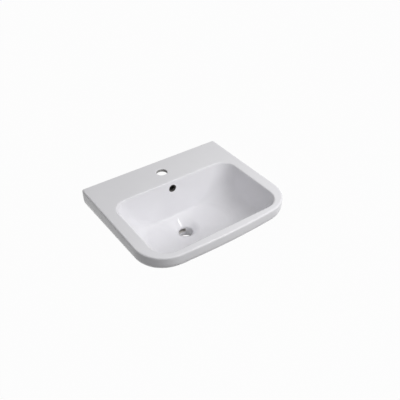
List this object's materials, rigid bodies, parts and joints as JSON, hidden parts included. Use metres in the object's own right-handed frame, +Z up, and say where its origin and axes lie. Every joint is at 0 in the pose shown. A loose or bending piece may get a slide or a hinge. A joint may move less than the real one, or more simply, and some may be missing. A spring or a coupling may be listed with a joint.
{
  "type": "wall-hung basin",
  "caption": "Wall-hung ceramic washbasin: round-cornered bowl, tap deck with one tap hole, overflow, waste hole and turned-under lip, on two stud fixings with screw-on nuts.",
  "frame": {"origin": "on the wall plane, midway between the two wall fixings", "axes": "+X right as seen from the front, +Y into the wall, front towards -Y, +Z up"},
  "size_m": [0.5, 0.475, 0.1945],
  "materials": {
    "glazed_ceramic": "white glossy glaze, fired",
    "plug_nylon": "moulded grey nylon",
    "bush_nylon": "moulded natural nylon",
    "zinc_steel": "bright zinc plate"
  },
  "bodies": {
    "basin_body": {"basin": "glazed_ceramic", "left_wall_plug": "plug_nylon", "left_hanger_bolt": "zinc_steel", "left_bush": "bush_nylon", "right_wall_plug": "plug_nylon", "right_hanger_bolt": "zinc_steel", "right_bush": "bush_nylon"},
    "left_washer_body": {"left_washer": "zinc_steel"},
    "left_nut_body": {"left_nut": "zinc_steel"},
    "right_washer_body": {"right_washer": "zinc_steel"},
    "right_nut_body": {"right_nut": "zinc_steel"}
  },
  "joints": [
    {"name": "left_nut_travel", "type": "slide", "parent": "basin_body", "child": "left_washer_body", "axis": [0, -1, 0], "range_m": [0, 0.012]},
    {"name": "left_nut_turn", "type": "hinge", "parent": "left_washer_body", "child": "left_nut_body", "pos_m": [-0.14, -0.0237, 0], "axis": [0, -1, 0], "range_deg": [0, 2880]},
    {"name": "right_nut_travel", "type": "slide", "parent": "basin_body", "child": "right_washer_body", "axis": [0, -1, 0], "range_m": [0, 0.012]},
    {"name": "right_nut_turn", "type": "hinge", "parent": "right_washer_body", "child": "right_nut_body", "pos_m": [0.14, -0.0237, 0], "axis": [0, -1, 0], "range_deg": [0, 2880]}
  ],
  "couplings": [
    {"joint": "left_nut_turn", "follows": "left_nut_travel", "rad_per_m": 4188.8},
    {"joint": "right_nut_turn", "follows": "right_nut_travel", "rad_per_m": 4188.8}
  ]
}
